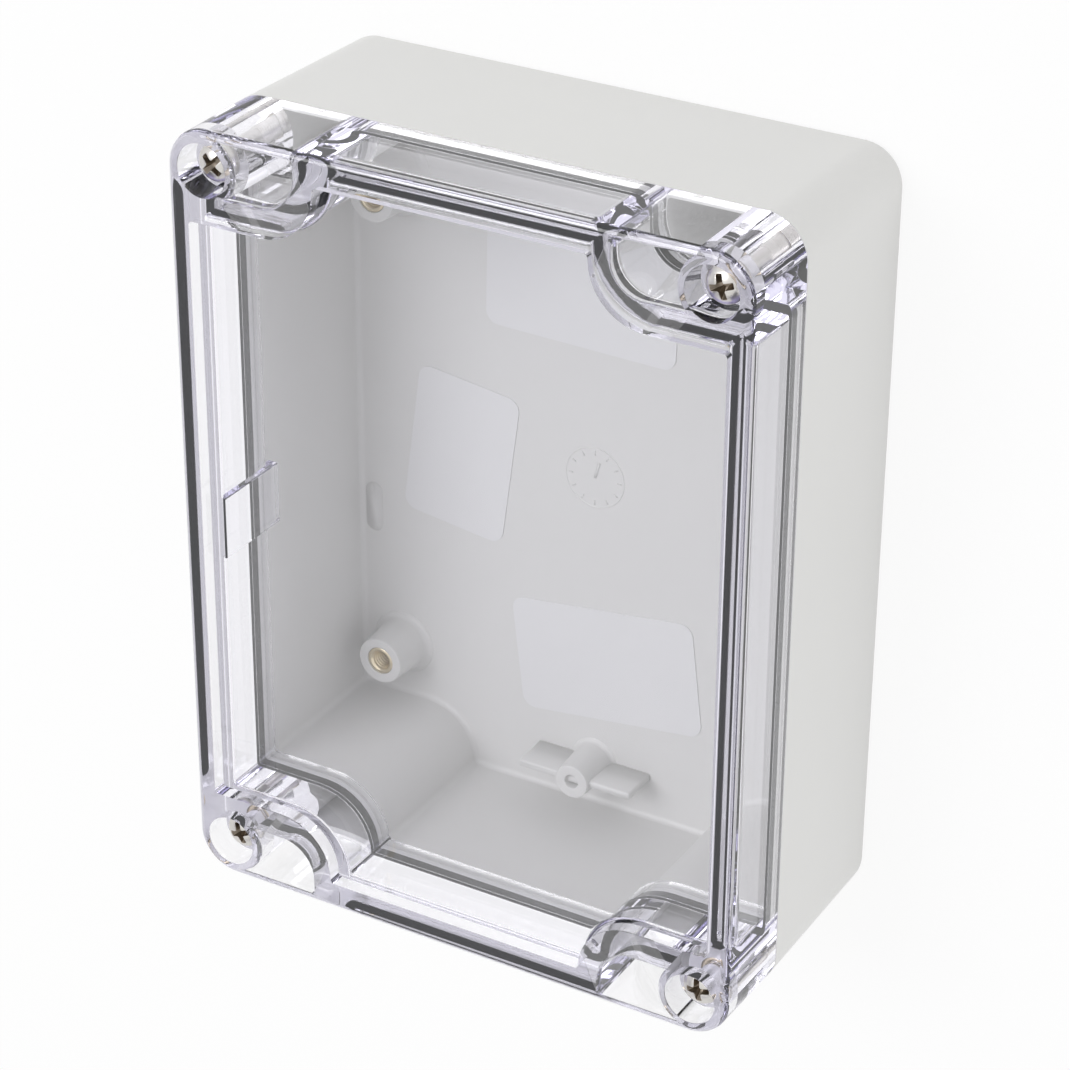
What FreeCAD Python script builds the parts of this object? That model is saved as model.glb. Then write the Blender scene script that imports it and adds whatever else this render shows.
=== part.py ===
import FreeCAD
import Part
import math
import os

# Wall-mounting enclosure lying on its back: a grey moulded base, a clear lid held by four
# captive screws, and a gasket between them. Millimetres. X runs across the short side,
# Y along the long side, Z up from the back face to the lid.

# Outer size
width = 120.0
length = 160.0
base_height = 40.0
lid_height = 19.7
corner_radius = 8.5
base_draft = 0.6
lid_draft = 0.3
seam_gap = 0.3
back_edge_chamfer = 1.2
front_edge_chamfer = 1.0

# Walls
base_floor = 3.0
rim_outer_lip = 1.4
groove_width = 2.0
lid_inner_lip = 1.2
base_wall = 3.2
window_thickness = 3.0
window_recess = 3.0
window_border_x = 4.7
window_border_y = 6.2
pocket_outer_wall = 1.9
well_outer_wall = 3.0

# Corner pockets beside the screws, and the sealing wall that turns round them
pocket_length = 27.4
pocket_depth = 12.4
sealing_wall = 3.0
pocket_turn_radius = 7.0
loop_corner_radius = 3.2

# Lid screws and their bosses
screw_inset = 8.0
screw_thread = 4.0
screw_length = 20.0
screw_head_radius = 3.75
screw_head_height = 2.6
screw_head_chamfer = 1.0
screw_head_sink = 3.5
tip_room = 1.5
counterbore_radius = 5.2
lid_boss_wall = 1.8
base_boss_wall = 2.6
screw_hole_play = 0.25
thread_play = 0.05
seat_play = 0.05

# Brass inserts
insert_radius = 3.0
lid_insert_length = 8.0
panel_insert_length = 6.0
insert_sink = 0.2

# Gasket
gasket_side_play = 0.1
gasket_height = 1.7
gasket_rest = 0.05

# Locating lip and pad of the lid
lip_reach = 1.5
lip_play = 0.3
pad_length = 13.0
pad_thickness = 1.3
pad_reach = 3.7
pad_offset_y = -3.5

# Bosses on the base floor
panel_boss_inset_x = 14.2
panel_boss_inset_y = 28.4
panel_boss_radius = 5.3
support_height = 12.5
standoff_inset_y = 13.8
standoff_radius = 4.0
standoff_hole_radius = 1.5
standoff_hole_depth = 6.5
rib_span = 26.0
rib_thickness = 1.8
rib_drop = 1.0

# Raised oblong mark on the base floor
mark_length = 11.0
mark_width = 3.9
mark_height = 0.2
mark_inset_x = 7.5
mark_offset_y = -21.5

# Wall-mounting holes in the floor of the corner wells
mount_hole_radius = 2.25
mount_hole_inset_x = 20.5
mount_hole_inset_y = 7.7

# Blank labels stuck on the base floor
label_thickness = 0.2
label_radius = 2.8
label_upper_inset = 41.2
label_lower_inset = 37.0
label_middle_inset = 28.5

# Values worked out from the sizes above
seam = base_height
lid_bottom = base_height + seam_gap
front = base_height + seam_gap + lid_height
loop_inset = rim_outer_lip + groove_width / 2
loop_x = width / 2 - loop_inset
loop_y = length / 2 - loop_inset
pocket_x = width / 2 - pocket_length
pocket_y = length / 2 - pocket_depth
lid_wall_offset = groove_width / 2 + lid_inner_lip
cavity_offset = base_wall - loop_inset
loop_notch_x = pocket_x - sealing_wall + cavity_offset
loop_notch_y = pocket_y - sealing_wall + cavity_offset
notch_lip = pocket_x - loop_notch_x
loop_turn_radius = pocket_turn_radius + notch_lip
screw_x = width / 2 - screw_inset
screw_y = length / 2 - screw_inset
screw_radius = screw_thread / 2
lid_boss_radius = counterbore_radius + lid_boss_wall
base_boss_radius = insert_radius + base_boss_wall
head_seat = front - screw_head_sink - screw_head_height
screw_tip = head_seat + seat_play - screw_length
hole_bottom = screw_tip - tip_room
insert_top = seam - insert_sink
panel_insert_top = support_height - insert_sink
lip_bottom = seam - lip_reach
window_top = front - window_recess
window_bottom = window_top - window_thickness
panel_boss_x = width / 2 - panel_boss_inset_x
panel_boss_y = length / 2 - panel_boss_inset_y
standoff_y = length / 2 - standoff_inset_y
mount_hole_x = width / 2 - mount_hole_inset_x
mount_hole_y = length / 2 - mount_hole_inset_y
mark_x = mark_inset_x - width / 2
quadrants = ((1, 1), (-1, 1), (-1, -1), (1, -1))

# Labels: centre x and y, size along and across, turn in degrees
labels = {
    "label_upper": (-4.4, length / 2 - label_upper_inset, 42.0, 25.0, -1.0),
    "label_middle": (label_middle_inset - width / 2, -4.0, 33.3, 23.3, 82.6),
    "label_lower": (2.5, label_lower_inset - length / 2, 41.5, 25.2, 7.0),
}


def save(shape, node):
    shape.exportStep("parts/" + node + ".step")


def rounded_loop(corners, z):
    """Closed wire through (x, y, radius) corners, each turned with an arc of its radius."""
    count = len(corners)
    arcs = []
    for i in range(count):
        here = FreeCAD.Vector(corners[i][0], corners[i][1], z)
        if corners[i][2] == 0:
            arcs.append((here, here, here))
            continue
        before = FreeCAD.Vector(corners[i - 1][0], corners[i - 1][1], z)
        after = FreeCAD.Vector(corners[(i + 1) % count][0], corners[(i + 1) % count][1], z)
        a = (before - here).normalize()
        b = (after - here).normalize()
        half = a.getAngle(b) / 2
        reach = corners[i][2] / math.tan(half)
        bisector = (a + b).normalize()
        middle = corners[i][2] / math.sin(half) - corners[i][2]
        arcs.append((here + a * reach, here + bisector * middle, here + b * reach))
    edges = []
    for i in range(count):
        start = arcs[i - 1][2]
        end = arcs[i][0]
        if (end - start).Length > 1e-6:
            edges.append(Part.LineSegment(start, end).toShape())
        if corners[i][2] > 0:
            edges.append(Part.Arc(*arcs[i]).toShape())
    return Part.Wire(edges)


def all_round(quarter):
    """Repeats the corners of the first quadrant in the other three, as one loop."""
    loop = []
    for sx, sy in quadrants:
        part = [(sx * x, sy * y, r) for x, y, r in quarter]
        if sx * sy < 0:
            part.reverse()
        loop += part
    return loop


def outer_loop(inset, z):
    """Outline of the enclosure, drawn in by an inset."""
    return rounded_loop(all_round([(width / 2 - inset, length / 2 - inset, corner_radius - inset)]), z)


def seal_loop(out_x, out_y, z):
    """Sealing line that turns in round the corner pockets, moved outwards by out_x and out_y."""
    small = max(loop_corner_radius + min(out_x, out_y), 0.8)
    turn = loop_turn_radius - max(out_x, out_y)
    quarter = [
        (loop_x + out_x, loop_notch_y + out_y, small),
        (loop_notch_x + out_x, loop_notch_y + out_y, turn),
        (loop_notch_x + out_x, loop_y + out_y, small),
    ]
    return rounded_loop(all_round(quarter), z)


def prism(wire, height):
    return Part.Face(wire).extrude(FreeCAD.Vector(0, 0, height))


def tapered(lower, upper):
    return Part.makeLoft([lower, upper], True, True)


def cylinder(radius, height, x, y, z):
    return Part.makeCylinder(radius, height, FreeCAD.Vector(x, y, z))


def box_between(x0, x1, y0, y1, z0, z1):
    corner = FreeCAD.Vector(min(x0, x1), min(y0, y1), z0)
    return Part.makeBox(abs(x1 - x0), abs(y1 - y0), z1 - z0, corner)


def edges_at(shape, z):
    """Edges that lie flat at one height."""
    found = []
    for edge in shape.Edges:
        low = edge.BoundBox.ZMin
        high = edge.BoundBox.ZMax
        if abs(low - z) < 1e-4 and abs(high - z) < 1e-4:
            found.append(edge)
    return found


def corner_pocket(sx, sy, outer_wall, boss_radius, z0, z1):
    """Open space beside a screw boss, outside the sealing wall."""
    top = length / 2 - outer_wall
    corners = [
        (sx * pocket_x, sy * pocket_y, pocket_turn_radius),
        (sx * screw_x, sy * pocket_y, 0),
        (sx * screw_x, sy * top, 0),
        (sx * pocket_x, sy * top, 0.8),
    ]
    space = prism(rounded_loop(corners, z0), z1 - z0)
    return space.cut(cylinder(boss_radius, z1 - z0, sx * screw_x, sy * screw_y, z0))


def base_shell():
    """Grey moulded base: open box with four corner wells, screw bosses and floor bosses."""
    body = tapered(outer_loop(base_draft, 0), outer_loop(0, seam))
    body = body.makeChamfer(back_edge_chamfer, edges_at(body, 0))
    body = body.cut(prism(seal_loop(-cavity_offset, -cavity_offset, base_floor), seam - base_floor))
    for sx, sy in quadrants:
        body = body.cut(corner_pocket(sx, sy, well_outer_wall, base_boss_radius, base_floor, seam))
        body = body.cut(cylinder(mount_hole_radius, base_floor, sx * mount_hole_x, sy * mount_hole_y, 0))
        body = body.cut(insert_hole(sx * screw_x, sy * screw_y, insert_top, lid_insert_length, hole_bottom))
        body = body.fuse(panel_boss(sx * panel_boss_x, sy * panel_boss_y))
    for sy in (1, -1):
        body = body.fuse(standoff(sy * standoff_y))
    body = body.fuse(floor_mark())
    return body.removeSplitter()


def insert_hole(x, y, top, length, bottom):
    """Stepped hole: the insert's seat, and a narrower clearance for the screw below it."""
    seat = cylinder(insert_radius, length, x, y, top - length)
    mouth = cylinder(insert_radius, insert_sink, x, y, top)
    relief = cylinder(screw_radius + screw_hole_play, top - bottom, x, y, bottom)
    return seat.fuse([mouth, relief])


def panel_boss(x, y):
    """Round boss on the floor with a stepped hole for its brass insert."""
    height = support_height - base_floor
    boss = cylinder(panel_boss_radius, height, x, y, base_floor)
    return boss.cut(insert_hole(x, y, panel_insert_top, panel_insert_length, base_floor))


def standoff(y):
    """Blind-holed post with a rib on each side, at the middle of a short side."""
    height = support_height - base_floor
    post = cylinder(standoff_radius, height, 0, y, base_floor)
    rib = box_between(
        -rib_span / 2, rib_span / 2, y - rib_thickness / 2, y + rib_thickness / 2,
        base_floor, support_height - rib_drop,
    )
    hole = cylinder(standoff_hole_radius, standoff_hole_depth, 0, y, support_height - standoff_hole_depth)
    return post.fuse(rib).cut(hole)


def floor_mark():
    """Low raised oblong with round ends."""
    x = mark_width / 2
    y = mark_length / 2
    outline = rounded_loop(all_round([(x, y, x * 0.99)]), base_floor)
    mark = prism(outline, mark_height)
    mark.translate(FreeCAD.Vector(mark_x, mark_offset_y, 0))
    return mark


def lid():
    """Clear lid: recessed window, raised border, sealing wall, open pockets and screw bosses."""
    body = tapered(outer_loop(0, lid_bottom), outer_loop(lid_draft, front))
    body = body.makeChamfer(front_edge_chamfer, edges_at(body, front))
    body = body.fuse([locating_plug(), locating_pad()])
    cavity = prism(seal_loop(-lid_wall_offset, -lid_wall_offset, lip_bottom), window_bottom - lip_bottom)
    cavity = cavity.cut(locating_pad())
    border_x = loop_inset - window_border_x
    border_y = loop_inset - window_border_y
    recess = prism(seal_loop(border_x, border_y, window_top), window_recess)
    body = body.cut(cavity).cut(recess)
    body = body.cut(gasket_ring(0, lid_bottom, gasket_height + gasket_rest - seam_gap))
    for sx, sy in quadrants:
        body = body.cut(corner_pocket(sx, sy, pocket_outer_wall, lid_boss_radius, lid_bottom, front))
        x = sx * screw_x
        y = sy * screw_y
        body = body.cut(cylinder(counterbore_radius, front - head_seat, x, y, head_seat))
        body = body.cut(cylinder(screw_radius + screw_hole_play, front - lid_bottom, x, y, lid_bottom))
    return body.removeSplitter()


def locating_plug():
    """Solid that centres the lid inside the base wall; the cavity leaves only its rim."""
    outside = -cavity_offset - lip_play
    return prism(seal_loop(outside, outside, lip_bottom), lid_bottom + lip_reach - lip_bottom)


def locating_pad():
    """Thick pad on the inside of one long wall, from the window past the rim into the base."""
    outer = loop_x - cavity_offset - lip_play
    inner = loop_x - lid_wall_offset - pad_thickness
    y = pad_offset_y
    return box_between(
        -outer, -inner, y - pad_length / 2, y + pad_length / 2,
        seam - pad_reach, window_bottom,
    )


def gasket_ring(play, z, height):
    """Ring that follows the sealing line, narrower than its groove by the play on each side."""
    out = groove_width / 2 - play
    ring = prism(seal_loop(out, out, z), height)
    return ring.cut(prism(seal_loop(-out, -out, z), height))


def lid_screw(x, y):
    """Pan-head screw with a plain shank, its head chamfered."""
    seat = head_seat + seat_play
    shank_radius = screw_radius - thread_play
    head = cylinder(screw_head_radius, screw_head_height, x, y, seat)
    head = head.makeChamfer(screw_head_chamfer, edges_at(head, seat + screw_head_height))
    shank = cylinder(shank_radius, screw_length, x, y, screw_tip)
    return head.fuse(shank).removeSplitter()


def brass_insert(x, y, top, length):
    """Plain round insert with a bore as wide as the screw's thread."""
    body = cylinder(insert_radius, length, x, y, top - length)
    return body.cut(cylinder(screw_radius, length, x, y, top - length))


def label(x, y, along, across, turn):
    """Blank label with rounded corners, flat on the base floor."""
    outline = rounded_loop(all_round([(along / 2, across / 2, label_radius)]), 0)
    sheet = prism(outline, label_thickness)
    sheet.rotate(FreeCAD.Vector(0, 0, 0), FreeCAD.Vector(0, 0, 1), turn)
    sheet.translate(FreeCAD.Vector(x, y, base_floor))
    return sheet


os.makedirs("parts", exist_ok=True)
save(base_shell(), "base_shell")
save(lid(), "lid")
save(gasket_ring(gasket_side_play, seam + gasket_rest, gasket_height), "lid_gasket")
for number, (sx, sy) in enumerate(quadrants, 1):
    save(lid_screw(sx * screw_x, sy * screw_y), "lid_screw_%d" % number)
    insert = brass_insert(sx * screw_x, sy * screw_y, insert_top, lid_insert_length)
    save(insert, "lid_insert_%d" % number)
    insert = brass_insert(sx * panel_boss_x, sy * panel_boss_y, panel_insert_top, panel_insert_length)
    save(insert, "panel_insert_%d" % number)
for name, place in labels.items():
    save(label(*place), name)
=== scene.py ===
# %% [markdown]
# # A wall-mounting enclosure with a clear lid
# The object is a grey moulded box for circuit modules. A clear lid stands on it, four screws
# hold the lid, and a rubber seal runs between the two. It lies on its back, so the lid faces up.
# This script loads the CAD part as a frame and builds finer pieces over it, in the same place.

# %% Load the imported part
import math
import bpy
import numpy as np
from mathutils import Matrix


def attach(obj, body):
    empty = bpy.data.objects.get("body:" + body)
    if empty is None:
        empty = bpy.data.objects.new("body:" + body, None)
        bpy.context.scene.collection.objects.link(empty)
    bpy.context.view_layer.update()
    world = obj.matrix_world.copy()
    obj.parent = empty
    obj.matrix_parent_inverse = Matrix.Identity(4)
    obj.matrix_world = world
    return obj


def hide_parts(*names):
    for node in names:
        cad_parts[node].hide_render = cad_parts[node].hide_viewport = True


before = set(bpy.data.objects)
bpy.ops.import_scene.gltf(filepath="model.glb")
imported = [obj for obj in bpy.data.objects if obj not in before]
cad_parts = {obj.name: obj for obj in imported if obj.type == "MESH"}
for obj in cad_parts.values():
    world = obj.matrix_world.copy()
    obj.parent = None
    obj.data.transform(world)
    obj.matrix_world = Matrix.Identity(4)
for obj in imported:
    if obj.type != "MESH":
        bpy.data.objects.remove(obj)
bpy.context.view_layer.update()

# %% [markdown]
# ## Sizes
# The sizes are in millimetres, measured from the middle of the back face. The outside, the screws,
# the inserts and the bosses stand where the CAD part has them. The seal follows the bands of light
# in the photograph instead: its path lies 1.1 mm further in, with the walls beside it, and its
# groove is higher. A mesh is turned into metres once, when it is made.

# %% Sizes in millimetres
MM = 0.001
WIDTH, LENGTH, SEAM, LID_BOTTOM, FRONT = 120.0, 160.0, 40.0, 40.3, 60.0
CORNER, BASE_LEAN, LID_LEAN = 8.5, 0.6, 0.3
FLOOR, CAVITY_TOP, WINDOW = 3.0, 54.0, 57.0

# The seal's path, with the radii of its inner and outer turns
SEAL_X, SEAL_Y, NOTCH_X, NOTCH_Y, TURN, BEND = 56.5, 76.5, 29.3, 64.3, 10.3, 2.1
GROOVE_TOP, TONGUE_TOP = 43.6, 41.3
BASE_IN, PLUG_IN, CAVITY_IN, GROOVE_HALF = -0.8, -1.1, -2.2, 1.0

# Corner pockets and screws
POCKET_X, POCKET_Y = 32.6, 67.6
SCREW_X, SCREW_Y, HEAD_SEAT, SHANK_HOLE = 52.0, 72.0, 53.95, 2.25
HEAD_RADIUS, PITCH = 3.75, 0.7
WALL_HOLE_X, WALL_HOLE_Y, WALL_HOLE = 39.5, 72.3, 2.25
INSERT_RADIUS, LID_INSERT_TOP, LID_INSERT_LENGTH = 3.0, 39.8, 8.0

# Bosses and posts on the floor
BOSS_X, BOSS_Y, POST_Y, SUPPORT = 45.8, 51.6, 66.2, 12.5
PANEL_INSERT_TOP, PANEL_INSERT_LENGTH = 12.3, 6.0
QUADRANTS = ((1, 1), (-1, 1), (-1, -1), (1, -1))
print("box", WIDTH, "x", LENGTH, "x", FRONT, "mm")

# %% [markdown]
# ## Outlines
# Nearly every wall of a moulded box follows a rounded outline that is set in or out a little.
# The outline can be drawn with a curve, but a formula gives the same points at every height, so
# two outlines can be joined face by face.

# %% Rounded outlines as arrays
def unit(v):
    return v / np.linalg.norm(v, axis=-1, keepdims=True)


def rounded(corners, steps=10):
    """Closed outline of (x, y, radius) corners. An arc of the radius touches both sides of each
    corner: its centre lies on the bisector, radius / sin(half the corner's angle) away."""
    c = np.asarray(corners, float)
    p, r = c[:, :2], c[:, 2]
    a, b = unit(np.roll(p, 1, 0) - p), unit(np.roll(p, -1, 0) - p)
    half = np.arccos(np.clip((a * b).sum(1), -1, 1)) / 2
    centre = p + unit(a + b) * (r / np.sin(half))[:, None]
    arm = p + a * (r / np.tan(half))[:, None] - centre
    side = np.sign(-a[:, 0] * b[:, 1] + a[:, 1] * b[:, 0])
    turn = (side * (np.pi - 2 * half))[:, None] * np.linspace(0, 1, steps)
    x = centre[:, 0, None] + arm[:, 0, None] * np.cos(turn) - arm[:, 1, None] * np.sin(turn)
    y = centre[:, 1, None] + arm[:, 0, None] * np.sin(turn) + arm[:, 1, None] * np.cos(turn)
    return np.stack([x, y], -1).reshape(-1, 2)


def all_round(quarter):
    """Mirrors the corners of the first quadrant into the other three and keeps their order."""
    loop = []
    for sx, sy in QUADRANTS:
        part = [(sx * x, sy * y, r) for x, y, r in quarter]
        loop += part[::-1] if sx * sy < 0 else part
    return loop


def box_outline(inset):
    """Outer outline, set in by an inset; the corner radius shrinks with it."""
    return rounded(all_round([(WIDTH / 2 - inset, LENGTH / 2 - inset, CORNER - inset)]), 16)


def seal_outline(out_x, out_y=None):
    """Outline of the seal, which turns in round the corner pockets, set out by out_x and out_y."""
    out_y = out_x if out_y is None else out_y
    small = max(BEND + min(out_x, out_y), 0.8)
    quarter = [(SEAL_X + out_x, NOTCH_Y + out_y, small),
               (NOTCH_X + out_x, NOTCH_Y + out_y, TURN - max(out_x, out_y)),
               (NOTCH_X + out_x, SEAL_Y + out_y, small)]
    return rounded(all_round(quarter))


def pocket_outline(sx, sy, outer_wall, boss_radius, grow=0.0):
    """Outline of the open pocket beside a screw boss. Two straight sides end on the boss, and the
    boss's own circle closes the outline between them. Grow widens the pocket on the boss's side
    and on the seal's side, for a rounded rim."""
    top = LENGTH / 2 - outer_wall + grow * 0.3
    boss_radius = boss_radius - grow
    low, left = POCKET_Y - grow, POCKET_X - grow
    ends = np.array([low - SCREW_Y, top - SCREW_Y])
    start, end = np.pi - np.arcsin(ends / boss_radius)
    t = np.linspace(start, end, 14)
    arc = np.stack([SCREW_X + boss_radius * np.cos(t), SCREW_Y + boss_radius * np.sin(t)], 1)
    corners = rounded([(left, top, 0.8), (left, low, 7.0 + grow), (arc[0, 0], low, 0.01),
                       (arc[-1, 0], top, 0.01)])[:20]
    outline = np.concatenate([corners, arc]) * (sx, sy)
    return outline[::-1] if sx * sy < 0 else outline


print("points in the outer outline", len(box_outline(0)), "and in the seal's", len(seal_outline(0)))

# %% [markdown]
# ## Solids from outlines
# A wall, a hole and a fillet are all a stack of outlines. Each one is joined to the next with
# four-sided faces, and the first and last are closed. Real edges are never quite sharp, so a
# narrow bevel is put on every edge at the end. It catches the light as the moulded part does.

# %% Helpers that make a mesh
def make(name, verts, faces):
    """Mesh object from points in millimetres and faces given as lists of point numbers."""
    mesh = bpy.data.meshes.new(name)
    mesh.from_pydata((np.asarray(verts) * MM).tolist(), [], faces)
    mesh.update()
    mesh.shade_smooth()
    obj = bpy.data.objects.new(name, mesh)
    bpy.context.scene.collection.objects.link(obj)
    return obj


def grid_faces(rows, columns, closed_rows=False):
    """Four-sided faces of a grid whose columns close into a ring."""
    i = np.arange(rows if closed_rows else rows - 1)[:, None]
    j = np.arange(columns)[None, :]
    k, m = (i + 1) % rows, (j + 1) % columns
    return np.stack([i * columns + j, i * columns + m, k * columns + m, k * columns + j], -1).reshape(-1, 4)


def stack(name, outlines, heights):
    """Solid through outlines at rising heights, closed by its first and last outline."""
    n = len(outlines[0])
    xy = np.concatenate(outlines)
    z = np.repeat(heights, n)[:, None]
    faces = grid_faces(len(outlines), n).tolist()
    faces += [list(range(n))[::-1], list(range(len(xy) - n, len(xy)))]
    return make(name, np.hstack([xy, z]), faces)


def turned(name, radius, height, x=0.0, y=0.0, sides=48):
    """Surface of revolution: the profile (radius, height) is turned about an upright axis. Radius
    and height may be whole grids, so that a thread can change them with the angle. It closes at
    its first and last ring."""
    angle = np.linspace(0, 2 * np.pi, sides, endpoint=False)
    r = np.broadcast_to(np.asarray(radius, float).reshape(len(radius), -1), (len(radius), sides))
    z = np.broadcast_to(np.asarray(height, float).reshape(len(height), -1), (len(height), sides))
    verts = np.stack([x + r * np.cos(angle), y + r * np.sin(angle), z], -1).reshape(-1, 3)
    faces = grid_faces(len(r), sides).tolist()
    faces += [list(range(sides))[::-1], list(range(len(verts) - sides, len(verts)))]
    return make(name, verts, faces)


def post(radius, low, high, x, y, sides=48):
    return turned("tool", [radius, radius], [low, high], x, y, sides)


def bake(obj):
    """Turns the modifiers into the mesh itself."""
    seen = obj.evaluated_get(bpy.context.evaluated_depsgraph_get())
    obj.data = bpy.data.meshes.new_from_object(seen)
    obj.modifiers.clear()
    return obj


def combine(obj, tools, operation):
    """Adds the tools to a solid or cuts them from it, then removes them."""
    for tool in tools:
        step = obj.modifiers.new("step", "BOOLEAN")
        step.object, step.operation, step.solver = tool, operation, "EXACT"
    bake(obj)
    for tool in tools:
        bpy.data.objects.remove(tool)
    return obj


def soften(obj, width, segments=2, angle=35):
    """Narrow bevel on every edge sharper than the angle, with the flat faces kept flat."""
    obj.data.shade_smooth()
    edge = obj.modifiers.new("edge", "BEVEL")
    edge.width, edge.segments = width * MM, segments
    edge.limit_method, edge.angle_limit = "ANGLE", math.radians(angle)
    level = obj.modifiers.new("level", "WEIGHTED_NORMAL")
    level.mode, level.weight, level.keep_sharp = "FACE_AREA", 50, True
    return bake(obj)


def join(obj, others):
    """Adds the meshes of other pieces to a piece, as loose shells that sink into it."""
    import bmesh
    bm = bmesh.new()
    for o in [obj] + others:
        bm.from_mesh(o.data)
    bm.to_mesh(obj.data)
    bm.free()
    for o in others:
        bpy.data.objects.remove(o)
    return obj


def edge_round(radius, steps=6):
    """Quarter circle from a flat face to the wall beside it: how far it stands back from the wall,
    radius * (1 - sin t), and how far it has left the flat face, radius * (1 - cos t)."""
    t = np.linspace(0, np.pi / 2, steps)
    return radius * (1 - np.sin(t)), radius * (1 - np.cos(t))


print("helpers ready")

# %% [markdown]
# ## Base
# The base is an open box of thick plastic. Its side walls lean in a little towards the back, so
# that it leaves its mould. Four wells beside the screw bosses run down to the holes that hold
# the box on a wall. A modeller could cut all of this by hand; here each wall is an outline.

# %% Base body
def base_body():
    """Leaning outer shell, less the cavity, the four wells and the holes in and beside them."""
    back, rise = edge_round(1.5)
    heights, insets = np.r_[rise, SEAM], np.r_[back, 0.0]
    insets = insets + BASE_LEAN * (1 - heights / SEAM)
    body = stack("base_body", [box_outline(i) for i in insets], heights)
    back, rise = edge_round(1.2)
    outs = [seal_outline(BASE_IN - b) for b in back] + [seal_outline(BASE_IN)] * 2
    cuts = [stack("tool", outs, np.r_[FLOOR + rise, SEAM, SEAM + 1])]
    well_wall, boss_radius, insert_low = 3.0, 5.6, LID_INSERT_TOP - LID_INSERT_LENGTH
    for sx, sy in QUADRANTS:
        outline = pocket_outline(sx, sy, well_wall, boss_radius)
        cuts.append(stack("tool", [outline, outline], [FLOOR, SEAM + 1]))
        cuts.append(post(WALL_HOLE, -1, FLOOR + 1, sx * WALL_HOLE_X, sy * WALL_HOLE_Y))
        cuts.append(post(INSERT_RADIUS, insert_low, SEAM + 1, sx * SCREW_X, sy * SCREW_Y))
    return combine(body, cuts, "DIFFERENCE")


base = soften(base_body(), 0.3)
print("base faces", len(base.data.polygons))

# %% [markdown]
# ## Bosses on the floor
# A boss is a cone with a hole in it. A small fillet at its foot keeps the plastic from cracking
# there. Each is one profile turned about its axis: foot, side, top, hole. It sinks a little into
# the floor, so no gap shows. A low tongue runs round the rim and presses the seal into its groove.

# %% Floor bosses, posts and ribs
SUNK = 2.8


def boss_profile(foot, top, height, hole, hole_bottom, foot_round=1.5, lip=0.25):
    """Radius and height along a boss, from its foot fillet over the rounded rim into the hole."""
    t = np.linspace(0, np.pi / 2, 6)
    foot_z = FLOOR + foot_round * (1 - np.cos(t))
    side = foot + (top - foot) * (foot_z - FLOOR) / (height - FLOOR)
    foot_r = side + foot_round * (1 - np.sin(t))
    rim_r = np.r_[top - lip * (1 - np.cos(t)), hole + lip * (1 - np.sin(t))]
    rim_z = np.r_[height - lip * (1 - np.sin(t)), height - lip * (1 - np.cos(t))]
    radius = np.r_[foot_r[0], foot_r, rim_r, hole, hole]
    return radius, np.r_[SUNK, foot_z, rim_z, hole_bottom + 0.01, hole_bottom]


def rib(y):
    """Upright plate on both sides of a post, thinner at the top than at the floor."""
    long, half = 13.0, 0.95
    corners = [(long, half), (-long, half), (-long, -half), (long, -half)]
    low = rounded([(x, y + dy, 0.5) for x, dy in corners], 4)
    high = slimmer(low, y, 0.99, 0.85)
    return stack("rib", [low, high, slimmer(high, y, 0.996, 0.8)], [SUNK, 11.3, 11.5])


def slimmer(outline, y, along, across):
    """The outline drawn in towards the line x = 0 and towards its own line at y."""
    return np.column_stack([outline[:, 0] * along, y + (outline[:, 1] - y) * across])


boss = boss_profile(5.6, 5.0, SUPPORT, INSERT_RADIUS, PANEL_INSERT_TOP - PANEL_INSERT_LENGTH)
centre_post = boss_profile(4.3, 3.7, SUPPORT, 1.5, 6.0, 1.0)
bosses = [turned("boss", *boss, sx * BOSS_X, sy * BOSS_Y) for sx, sy in QUADRANTS]
bosses += [turned("post", *centre_post, 0, s * POST_Y) for s in (1, -1)]
bosses += [rib(s * POST_Y) for s in (1, -1)]

# The low tongue that runs round the rim and presses the seal
tongue_half = 0.85
wall = seal_outline(tongue_half)
tongue = stack("tongue", [wall, wall, seal_outline(tongue_half - 0.1)],
               [SEAM - 0.4, TONGUE_TOP - 0.1, TONGUE_TOP])
core = stack("tool", [seal_outline(-tongue_half)] * 2, [SEAM - 1, SEAM + 4])
bosses.append(combine(tongue, [core], "DIFFERENCE"))
tray = join(base, bosses)
tray.name = "base_body"
print("base with bosses", len(tray.data.polygons))

# %% [markdown]
# ## Clear lid
# The lid is one thick clear moulding. Looking into its walls shows bright and dark bands, because
# light that meets the inside of a wall at a flat angle is thrown back. That only comes right with
# a solid of true thickness, clean flat faces and small rounded edges.

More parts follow.
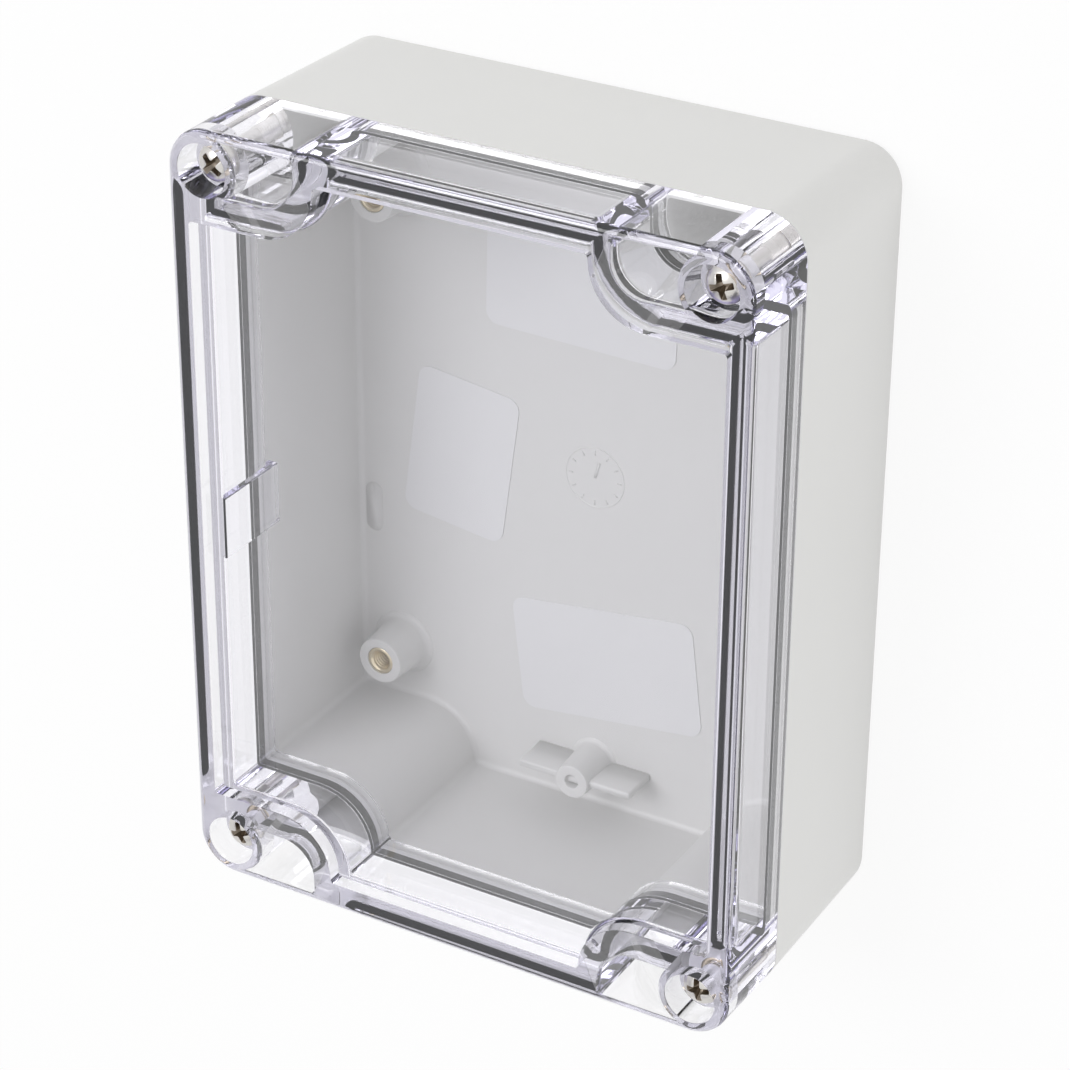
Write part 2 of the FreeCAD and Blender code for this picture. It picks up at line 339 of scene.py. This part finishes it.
# %% Lid
def lid_body():
    """Outer shell and the plug that reaches into the base, less the cavity, the window's recess,
    the pockets, the screws' holes and the groove. A small pad stands inside the left wall."""
    back, rise = edge_round(1.6, 8)
    heights = np.r_[LID_BOTTOM, FRONT - rise[::-1]]
    insets = np.r_[0.0, back[::-1]] + LID_LEAN * (heights - LID_BOTTOM) / (FRONT - LID_BOTTOM)
    body = stack("lid_body", [box_outline(i) for i in insets], heights)
    plug = stack("tool", [seal_outline(PLUG_IN)] * 2, [SEAM - 1.5, SEAM + 2])
    combine(body, [plug], "UNION")
    back, rise = edge_round(1.0)
    outs = [seal_outline(CAVITY_IN)] * 2 + [seal_outline(CAVITY_IN - b) for b in back[::-1]]
    cuts = [stack("tool", outs, np.r_[SEAM - 3, LID_BOTTOM, CAVITY_TOP - rise[::-1]])]
    recess = seal_outline(-1.2, -2.7)
    cuts.append(stack("tool", [recess, recess], [WINDOW, FRONT + 1]))
    flare, drop = edge_round(1.2, 7)
    pocket_wall, boss_radius = 1.9, 7.0
    for sx, sy in QUADRANTS:
        rim = [pocket_outline(sx, sy, pocket_wall, boss_radius, g) for g in np.r_[0, flare[::-1]]]
        cuts.append(stack("tool", rim + rim[-1:], np.r_[LID_BOTTOM - 1, FRONT - drop[::-1], FRONT + 1]))
        cuts.append(post(5.3, HEAD_SEAT - 0.05, FRONT + 1, sx * SCREW_X, sy * SCREW_Y, 64))
        cuts.append(post(SHANK_HOLE, LID_BOTTOM - 1, FRONT, sx * SCREW_X, sy * SCREW_Y))
    combine(body, cuts, "DIFFERENCE")
    groove = stack("tool", [seal_outline(GROOVE_HALF)] * 2, [LID_BOTTOM - 1, GROOVE_TOP])
    core = stack("tool", [seal_outline(-GROOVE_HALF)] * 2, [LID_BOTTOM - 2, GROOVE_TOP + 1])
    combine(groove, [core], "DIFFERENCE")
    combine(body, [groove], "DIFFERENCE")
    near, far, low, high = -53.0, -55.39, -10.0, 3.0
    pad = rounded([(near, high, 0.3), (far, high, 0.3), (far, low, 0.3), (near, low, 0.3)], 4)
    return combine(body, [stack("tool", [pad, pad], [36.3, 54.5])], "UNION")


lid = soften(lid_body(), 0.2)
print("lid faces", len(lid.data.polygons))

# %% [markdown]
# ## Seal
# The seal is a rubber cord of nearly square section that runs round the whole rim. It is the same
# outline at many small offsets: one turn of the profile at each point of the path.

# %% Seal
def seal_body():
    """Rounded section (offset, height) carried along the seal's outline. It touches the top of its
    groove and leaves a thin film of air at both sides, which mirrors like silver."""
    half, wide = (GROOVE_TOP - TONGUE_TOP) / 2, GROOVE_HALF - 0.07
    section = rounded([(wide, half, 0.12), (-wide, half, 0.12), (-wide, -half, 0.35),
                       (wide, -half, 0.35)], 5)
    rings = np.stack([seal_outline(o) for o in section[:, 0]])
    z = np.broadcast_to((section[:, 1] + GROOVE_TOP - half + 0.01)[:, None, None], rings.shape[:2] + (1,))
    verts = np.concatenate([rings, z], -1).reshape(-1, 3)
    faces = grid_faces(*rings.shape[:2], closed_rows=True)[:, ::-1]
    return make("seal_ring", verts, faces.tolist())


seal = seal_body()
print("seal faces", len(seal.data.polygons))

# %% [markdown]
# ## Screws
# Each screw has a domed pan head with a cross recess and a thread of 0.7 mm pitch. The thread is
# a surface of revolution whose radius rises and falls once per pitch and moves up as it turns. The
# recess is cut last, at the angle at which each screw happens to stand.

# %% Screws
SCREW_LENGTH, DOME_FOOT, DOME = 20.0, HEAD_SEAT + 0.9, 2.15


def cross_outline(arm, half):
    """Plus sign with arms as long as arm and half as wide as half, with rounded inner corners."""
    quarter = [(arm, half, half * 0.3), (half, half, half * 0.5), (half, arm, half * 0.3)]
    return rounded(all_round(quarter), 4)


def screw_body(n, x, y, spin):
    """Threaded shank and domed head in one turned profile; the cross recess is cut at the angle
    spin, in degrees, at which this screw happens to stand."""
    sides, tip, thread_top = 40, HEAD_SEAT - SCREW_LENGTH, 46.0
    z = np.linspace(tip, thread_top, int((thread_top - tip) / PITCH * 8))[:, None]
    angle = np.linspace(0, 2 * np.pi, sides, endpoint=False)[None, :]
    phase = np.abs(((z - tip) / PITCH - angle / (2 * np.pi)) % 1 - 0.5) * 2
    taper = np.clip((z - tip) / 0.9, 0, 1) * np.clip((thread_top - z) / 0.6, 0, 1)
    thread_r = 1.6 + 0.33 * np.clip(phase * 1.2 - 0.1, 0, 1) * taper
    t, one = np.linspace(0, 1.5, 12), np.ones((1, sides))
    dome = DOME_FOOT + DOME * np.sin(t)
    head_r = np.r_[1.7, 1.7, 3.5, HEAD_RADIUS, HEAD_RADIUS * np.cos(t)][:, None] * one
    head_z = np.r_[thread_top + 0.3, HEAD_SEAT, HEAD_SEAT, HEAD_SEAT + 0.2, dome][:, None] * one
    radius = np.vstack([thread_r[:1] * 0.45, thread_r, head_r])
    height = np.vstack([tip * one, z * one, head_z])
    screw = turned("lid_screw_%d_body" % n, radius, height, x, y, sides)
    c, s = math.cos(math.radians(spin)), math.sin(math.radians(spin))
    turn = np.array([[c, s], [-s, c]])
    depths, arms, halves = [57.6, 56.6, 55.2, 54.6], [2.75, 2.45, 1.4, 0.7], [0.66, 0.6, 0.42, 0.35]
    outlines = [cross_outline(a, h) @ turn + (x, y) for a, h in zip(arms[::-1], halves[::-1])]
    combine(screw, [stack("tool", outlines, depths[::-1])], "DIFFERENCE")
    return soften(screw, 0.06, 2, 50)


SPINS = (16, 45, 20, 8)
screws = []
for n, (sx, sy) in enumerate(QUADRANTS, 1):
    screws.append(screw_body(n, sx * SCREW_X, sy * SCREW_Y, SPINS[n - 1]))
print("faces in a screw", len(screws[0].data.polygons))

# %% [markdown]
# ## Brass inserts
# A brass insert is pressed hot into each boss. Its outside is knurled so that it can't turn, and
# its bore is threaded. Only the top ring and the first turns of the thread show.

# %% Inserts
def insert_body(name, x, y, top, length, bore):
    """Profile from the outside over the chamfered rim into the bore. The bore's radius follows a
    thread of 0.7 mm pitch, and the outside is raised in 24 small teeth."""
    sides = 48
    angle = np.linspace(0, 2 * np.pi, sides, endpoint=False)[None, :]
    low = top - length
    one = np.ones((1, sides))
    tooth = 0.05 * (np.arange(sides) % 2)[None, :]
    outside = [(2.7, low), (2.9, low + 0.2), (2.9, low + length * 0.4), (2.65, low + length * 0.42),
               (2.65, low + length * 0.58), (2.9, low + length * 0.6), (2.9, top - 0.6), (2.95, top - 0.5),
               (2.95, top - 0.15), (2.82, top)]
    r = [np.full((1, sides), a) + (tooth if a == 2.9 else 0) for a, b in outside]
    z = [np.full((1, sides), b) for a, b in outside]
    inner = np.linspace(top - 0.02, low + 0.4, int(length / PITCH * 8))[:, None]
    phase = np.abs((inner / PITCH - angle / (2 * np.pi)) % 1 - 0.5) * 2
    mouth = np.clip((top - inner) / 0.6, 0, 1)
    wall = bore + (2.3 - bore) * (1 - mouth) + 0.28 * np.clip(phase * 1.2 - 0.1, 0, 1) * mouth
    radius = np.vstack(r + [np.full((1, sides), 2.42), wall, bore * one])
    height = np.vstack(z + [top * one, inner * one, low * one])
    verts = np.stack([x + radius * np.cos(angle), y + radius * np.sin(angle), height], -1).reshape(-1, 3)
    return make(name, verts, grid_faces(len(radius), sides, closed_rows=True).tolist())


inserts = {}
for n, (sx, sy) in enumerate(QUADRANTS, 1):
    inserts["lid_insert_%d" % n] = insert_body("lid_insert_%d_body" % n, sx * SCREW_X, sy * SCREW_Y,
                                               LID_INSERT_TOP, LID_INSERT_LENGTH, 2.0)
    inserts["panel_insert_%d" % n] = insert_body("panel_insert_%d_body" % n, sx * BOSS_X, sy * BOSS_Y,
                                                 PANEL_INSERT_TOP, PANEL_INSERT_LENGTH, 1.68)
print("inserts", len(inserts))

# %% [markdown]
# ## Moulding marks
# Two small raised marks show on the floor: a ring with twelve ticks and a pointer, which tells
# when the part was moulded, and a slim oblong near one wall. A bump map could fake them, but real
# steps this low still catch the light in every view.

# %% Moulding marks
def ring(radius, width, height, x, y):
    """Raised ring with sloping sides, sunk a little into the floor."""
    half = width / 2
    return turned("ring", [radius + half, radius + half * 0.5, radius - half * 0.5, radius - half],
                  [FLOOR - 0.1, FLOOR + height, FLOOR + height, FLOOR - 0.1], x, y, 64)


def bar(angle, near, far, width, x, y):
    """Thin radial bar at an angle about a centre."""
    c, s = math.cos(angle), math.sin(angle)
    local = np.array([[near, -width], [far, -width], [far, width], [near, width]])
    outline = local @ np.array([[c, s], [-s, c]]) + (x, y)
    return stack("bar", [outline, outline], [FLOOR - 0.1, FLOOR + 0.12])


mark_x, mark_y = -0.8, -1.2
marks = [ring(6.5, 0.35, 0.12, mark_x, mark_y)]
marks += [bar(math.radians(30 * k), 5.0, 5.9, 0.12, mark_x, mark_y) for k in range(12)]
marks += [bar(math.radians(75), 0.0, 3.6, 0.3, mark_x, mark_y)]
oblong = rounded([(-50.55, -16.0, 1.9), (-54.45, -16.0, 1.9), (-54.45, -27.0, 1.9),
                  (-50.55, -27.0, 1.9)], 8)
marks.append(stack("oblong", [oblong, oblong * 0.999 + oblong.mean(0) * 0.001], [FLOOR - 0.1, FLOOR + 0.2]))
join(tray, marks)
print("base with its marks", len(tray.data.polygons))

# %% [markdown]
# ## Effects shared by the materials
# Moulded plastic has a fine grain and a faint cloudiness. Both come from noise on the piece's own
# coordinates, so they stay put when the piece moves. One node group gives them to every material
# with its own amounts.

# %% Shared effects
def group(name, inputs, outputs):
    """Empty node group with named inputs (name, kind, value) and outputs (name, kind)."""
    g = bpy.data.node_groups.new(name, "ShaderNodeTree")
    for label, kind, value in inputs:
        socket = g.interface.new_socket(label, in_out="INPUT", socket_type=kind)
        if value is not None:
            socket.default_value = value
    for label, kind in outputs:
        g.interface.new_socket(label, in_out="OUTPUT", socket_type=kind)
    return g, g.nodes.new("NodeGroupInput"), g.nodes.new("NodeGroupOutput")


def node(tree, kind, **values):
    n = tree.nodes.new(kind)
    for key, value in values.items():
        setattr(n, key, value)
    return n


def cloudy_group():
    """Colour between two shades by slow noise, and a height by fine noise."""
    g, i, o = group("cloud_and_grain",
                    [("Light", "NodeSocketColor", (0.8, 0.8, 0.8, 1)),
                     ("Dark", "NodeSocketColor", (0.7, 0.7, 0.7, 1)),
                     ("Cloud Scale", "NodeSocketFloat", 40.0), ("Grain Scale", "NodeSocketFloat", 900.0)],
                    [("Color", "NodeSocketColor"), ("Grain", "NodeSocketFloat")])
    place = node(g, "ShaderNodeTexCoord")
    cloud, grain = node(g, "ShaderNodeTexNoise"), node(g, "ShaderNodeTexNoise")
    cloud.inputs["Detail"].default_value = 3
    grain.inputs["Detail"].default_value = 2
    mix = node(g, "ShaderNodeMix", data_type="RGBA")
    g.links.new(place.outputs["Object"], cloud.inputs["Vector"])
    g.links.new(place.outputs["Object"], grain.inputs["Vector"])
    g.links.new(i.outputs["Cloud Scale"], cloud.inputs["Scale"])
    g.links.new(i.outputs["Grain Scale"], grain.inputs["Scale"])
    g.links.new(cloud.outputs["Fac"], mix.inputs[0])
    g.links.new(i.outputs["Light"], mix.inputs[6])
    g.links.new(i.outputs["Dark"], mix.inputs[7])
    g.links.new(mix.outputs[2], o.inputs["Color"])
    g.links.new(grain.outputs["Fac"], o.inputs["Grain"])
    return g


CLOUDY = cloudy_group()


def surface(name, light, dark, roughness, bump, cloud=40.0, grain=900.0, distance=0.0001, **sockets):
    """Material with the shared cloud and grain. Other sockets are set by name."""
    m = bpy.data.materials.new(name)
    m.use_nodes = True
    t = m.node_tree
    shader = t.nodes["Principled BSDF"]
    effect = node(t, "ShaderNodeGroup", node_tree=CLOUDY)
    effect.inputs["Light"].default_value = (*light, 1)
    effect.inputs["Dark"].default_value = (*dark, 1)
    effect.inputs["Cloud Scale"].default_value = cloud
    effect.inputs["Grain Scale"].default_value = grain
    raise_it = node(t, "ShaderNodeBump")
    raise_it.inputs["Strength"].default_value = bump
    raise_it.inputs["Distance"].default_value = distance
    t.links.new(effect.outputs["Color"], shader.inputs["Base Color"])
    t.links.new(effect.outputs["Grain"], raise_it.inputs["Height"])
    t.links.new(raise_it.outputs["Normal"], shader.inputs["Normal"])
    shader.inputs["Roughness"].default_value = roughness
    for key, value in sockets.items():
        shader.inputs[key.replace("_", " ")].default_value = value
    return m


print("groups", [g.name for g in bpy.data.node_groups])

# %% [markdown]
# ## Finishes
# The base is a light grey moulding with a satin grain. The seal is soft and dull, the screws are
# plated steel with a darker recess, the inserts are turned brass, and the labels are blank
# silver-grey film. Each finish is the shared effect with its own colours, grain and roughness.

# %% Finishes
base_grey = surface("base_grey_plastic", (0.75, 0.748, 0.735), (0.725, 0.723, 0.71), 0.42, 0.25, 30, 2600,
                    0.00004)
seal_rubber = surface("seal_rubber", (0.020, 0.021, 0.023), (0.012, 0.013, 0.015), 0.8, 0.5, 300, 1800,
                      Specular_IOR_Level=0.2)
screw_metal = surface("screw_plated_steel", (0.72, 0.70, 0.67), (0.60, 0.58, 0.55), 0.28, 0.15, 500, 3000,
                      0.00003, Metallic=1.0)
recess_metal = surface("screw_recess_steel", (0.40, 0.35, 0.29), (0.24, 0.20, 0.16), 0.38, 0.2, 900, 3000,
                       0.00003, Metallic=1.0)
insert_metal = surface("insert_brass", (0.80, 0.70, 0.50), (0.70, 0.60, 0.42), 0.32, 0.2, 400, 3000,
                       0.00003, Metallic=1.0)
label_film = surface("label_film", (0.80, 0.80, 0.805), (0.78, 0.78, 0.785), 0.35, 0.1, 60, 3000, 0.00002)
print("finishes", len(bpy.data.materials))

# %% [markdown]
# ## Clear plastic
# The lid's plastic bends light more than glass does: its index is 1.585. A real lamp shines
# through it onto the floor of the box, which is slow to work out for a solid of glass. Light
# Path sends the light's own rays straight through, while the eye's rays are still bent.

# %% Clear plastic
def clear_plastic():
    m = bpy.data.materials.new("lid_clear_plastic")
    m.use_nodes = True
    t = m.node_tree
    shader = t.nodes["Principled BSDF"]
    shader.inputs["Base Color"].default_value = (1.0, 1.0, 1.0, 1)
    shader.inputs["Roughness"].default_value = 0.0
    shader.inputs["IOR"].default_value = 1.585
    shader.inputs["Transmission Weight"].default_value = 1.0
    through = node(t, "ShaderNodeBsdfTransparent")
    through.inputs["Color"].default_value = (0.94, 0.94, 0.95, 1)
    path = node(t, "ShaderNodeLightPath")
    either = node(t, "ShaderNodeMath", operation="MAXIMUM")
    mix = node(t, "ShaderNodeMixShader")
    t.links.new(path.outputs["Is Shadow Ray"], either.inputs[0])
    t.links.new(path.outputs["Is Diffuse Ray"], either.inputs[1])
    t.links.new(either.outputs[0], mix.inputs[0])
    t.links.new(shader.outputs[0], mix.inputs[1])
    t.links.new(through.outputs[0], mix.inputs[2])
    t.links.new(mix.outputs[0], t.nodes["Material Output"].inputs["Surface"])
    tint = node(t, "ShaderNodeVolumeAbsorption")
    tint.inputs["Color"].default_value = (0.54, 0.46, 1.0, 1)
    tint.inputs["Density"].default_value = 7.0
    t.links.new(tint.outputs[0], t.nodes["Material Output"].inputs["Volume"])
    return m


lid_clear = clear_plastic()


def finish_piece(obj, material, slot, body, *nodes):
    """Gives a piece its finish and its place in the assembly, and hides the CAD pieces it stands for."""
    obj.data.materials.clear()
    obj.data.materials.append(material)
    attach(obj, body)
    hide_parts(*nodes)


def colour_recess(mesh, x, y):
    """Gives the second finish to the faces below the head's dome. The dome's height at a distance
    r from the axis is DOME_FOOT + DOME * sqrt(1 - (r / HEAD_RADIUS)^2)."""
    centres = np.empty(len(mesh.polygons) * 3)
    mesh.polygons.foreach_get("center", centres)
    centres = centres.reshape(-1, 3) / MM - (x, y, 0)
    r = np.hypot(centres[:, 0], centres[:, 1])
    dome = DOME_FOOT + DOME * np.sqrt(np.clip(1 - (r / HEAD_RADIUS) ** 2, 0, 1))
    inside = (r < 3.0) & (centres[:, 2] > HEAD_SEAT + 0.25) & (centres[:, 2] < dome - 0.12)
    mesh.polygons.foreach_set("material_index", inside.astype(np.int32))
    print("recess faces", int(inside.sum()), "of", len(inside))


finish_piece(tray, base_grey, "base_plastic", "base", "base_shell")
finish_piece(lid, lid_clear, "lid_clear", "lid", "lid")
finish_piece(seal, seal_rubber, "gasket_rubber", "lid", "lid_gasket")
for n, (screw, (sx, sy)) in enumerate(zip(screws, QUADRANTS), 1):
    finish_piece(screw, screw_metal, "screw_steel", "screw_%d" % n, "lid_screw_%d" % n)
    screw.data.materials.append(recess_metal)
    colour_recess(screw.data, sx * SCREW_X, sy * SCREW_Y)
for name, piece in inserts.items():
    finish_piece(piece, insert_metal, "insert_brass", "base", name)
for name in ("label_upper", "label_middle", "label_lower"):
    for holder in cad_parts[name].material_slots:
        holder.material = label_film
print("pieces placed")

# %% [markdown]
# ## Floor and light
# A plain white floor and an even white sky give the soft studio look. One large lamp overhead
# shades the inside of the box. A weak one low on the right fills the outer side; it is hidden, so
# that it shows neither by itself nor through the lid.

# %% Floor and light
def rays(tree):
    """Mask that is 1 for the rays that show the surroundings: the camera's own, and mirrored and
    bent ones."""
    path = node(tree, "ShaderNodeLightPath")
    total = node(tree, "ShaderNodeMath", operation="ADD")
    shown = node(tree, "ShaderNodeMath", operation="ADD", use_clamp=True)
    tree.links.new(path.outputs["Is Camera Ray"], total.inputs[0])
    tree.links.new(path.outputs["Is Glossy Ray"], total.inputs[1])
    tree.links.new(total.outputs[0], shown.inputs[0])
    tree.links.new(path.outputs["Is Transmission Ray"], shown.inputs[1])
    return shown.outputs[0]


def between(tree, mask, unseen, seen):
    """Number that goes from unseen to seen as the mask goes from 0 to 1."""
    level = node(tree, "ShaderNodeMapRange")
    level.inputs["To Min"].default_value, level.inputs["To Max"].default_value = unseen, seen
    tree.links.new(mask, level.inputs["Value"])
    return level.outputs[0]


def floor():
    """White floor that catches the object's shadow. A share of plain white is mixed in for the
    rays that show it, so that it is as pale as the sky."""
    mesh = bpy.data.meshes.new("floor")
    mesh.from_pydata([(-4, -4, 0), (4, -4, 0), (4, 4, 0), (-4, 4, 0)], [], [(0, 1, 2, 3)])
    obj = bpy.data.objects.new("floor", mesh)
    bpy.context.scene.collection.objects.link(obj)
    m = bpy.data.materials.new("floor_white")
    m.use_nodes = True
    t = m.node_tree
    shader = t.nodes["Principled BSDF"]
    shader.inputs["Base Color"].default_value = (0.9, 0.9, 0.9, 1)
    shader.inputs["Roughness"].default_value = 0.9
    glow, mix = node(t, "ShaderNodeEmission"), node(t, "ShaderNodeMixShader")
    t.links.new(between(t, rays(t), 0.0, 0.88), mix.inputs[0])
    t.links.new(shader.outputs[0], mix.inputs[1])
    t.links.new(glow.outputs[0], mix.inputs[2])
    t.links.new(mix.outputs[0], t.nodes["Material Output"].inputs["Surface"])
    mesh.materials.append(m)
    obj.location.z = -0.0001
    return obj


def lamp(name, place, size, power):
    """Round area lamp that points at the middle of the back face."""
    light = bpy.data.lights.new(name, "AREA")
    light.shape, light.size, light.energy = "DISK", size, power
    obj = bpy.data.objects.new(name, light)
    bpy.context.scene.collection.objects.link(obj)
    obj.location = place
    way = -np.array(place, float)
    tilt, turn = math.atan2(math.hypot(way[0], way[1]), -way[2]), math.atan2(-way[0], way[1])
    obj.rotation_euler = (tilt, 0, turn)
    return obj


def sky(strength):
    """Even white sky. The rays that show it see plain white; it lights the object less."""
    world = bpy.data.worlds.new("white_sky")
    bpy.context.scene.world = world
    world.use_nodes = True
    t = world.node_tree
    back = t.nodes["Background"]
    back.inputs["Color"].default_value = (1, 1, 1, 1)
    t.links.new(between(t, rays(t), strength, 1.0), back.inputs["Strength"])
    return world


stage_pieces = [floor()]
key = lamp("key", (-0.5, 0.6, 1.25), 0.9, 8)
fill = lamp("fill", (1.2, -0.25, 0.13), 0.25, 1.7)
fill.visible_camera = fill.visible_transmission = False
stage_pieces += [key, fill]
sky(0.72)
print("lamp", [round(v, 2) for v in key.rotation_euler])

# %% [markdown]
# ## Camera
# The camera has the place and lens worked out from the photograph. Light is bent and mirrored many
# times inside the lid, so the counts of bounces are raised: with few, its corners turn dark grey.

# %% Camera
from mathutils import Matrix, Vector


def camera():
    """The fit gives the camera in the upright frame, where the box stands on its short side:
    back points to the camera, side and top are the picture's own axes. An upright point
    (x, y, z) lies at (x, z, SEAM - y) here. The focal length and the picture's side are in pixels."""
    focal, picture = 3408.574, 1070
    yaw, pitch, roll, far, cx, cz = 0.5291895, 0.49481497, 0.00552185, 640.11238, 5.5855679, 2.4293776
    back = np.array([math.sin(yaw) * math.cos(pitch), -math.cos(yaw) * math.cos(pitch), math.sin(pitch)])
    side = unit(np.cross((0, 0, 1), back))
    top = np.cross(back, side)
    side, top = math.cos(roll) * side + math.sin(roll) * top, -math.sin(roll) * side + math.cos(roll) * top
    eye = back * far + side * cx + top * cz
    lie = lambda v: Vector((v[0], v[2], -v[1]))
    data = bpy.data.cameras.new("camera")
    data.sensor_width, data.lens, data.clip_start = 36, focal / picture * 36, 0.01
    obj = bpy.data.objects.new("camera", data)
    bpy.context.scene.collection.objects.link(obj)
    axes = Matrix((lie(side), lie(top), lie(back))).transposed().to_4x4()
    axes.translation = (lie(eye) + Vector((0, 0, SEAM))) * MM
    obj.matrix_world = axes
    bpy.context.scene.camera = obj
    return obj


view = camera()
bpy.context.scene.view_settings.view_transform = "Standard"
bounces = bpy.context.scene.cycles
bounces.max_bounces, bounces.glossy_bounces, bounces.transmission_bounces = 24, 16, 24
print("camera at", [round(v, 4) for v in view.matrix_world.translation])
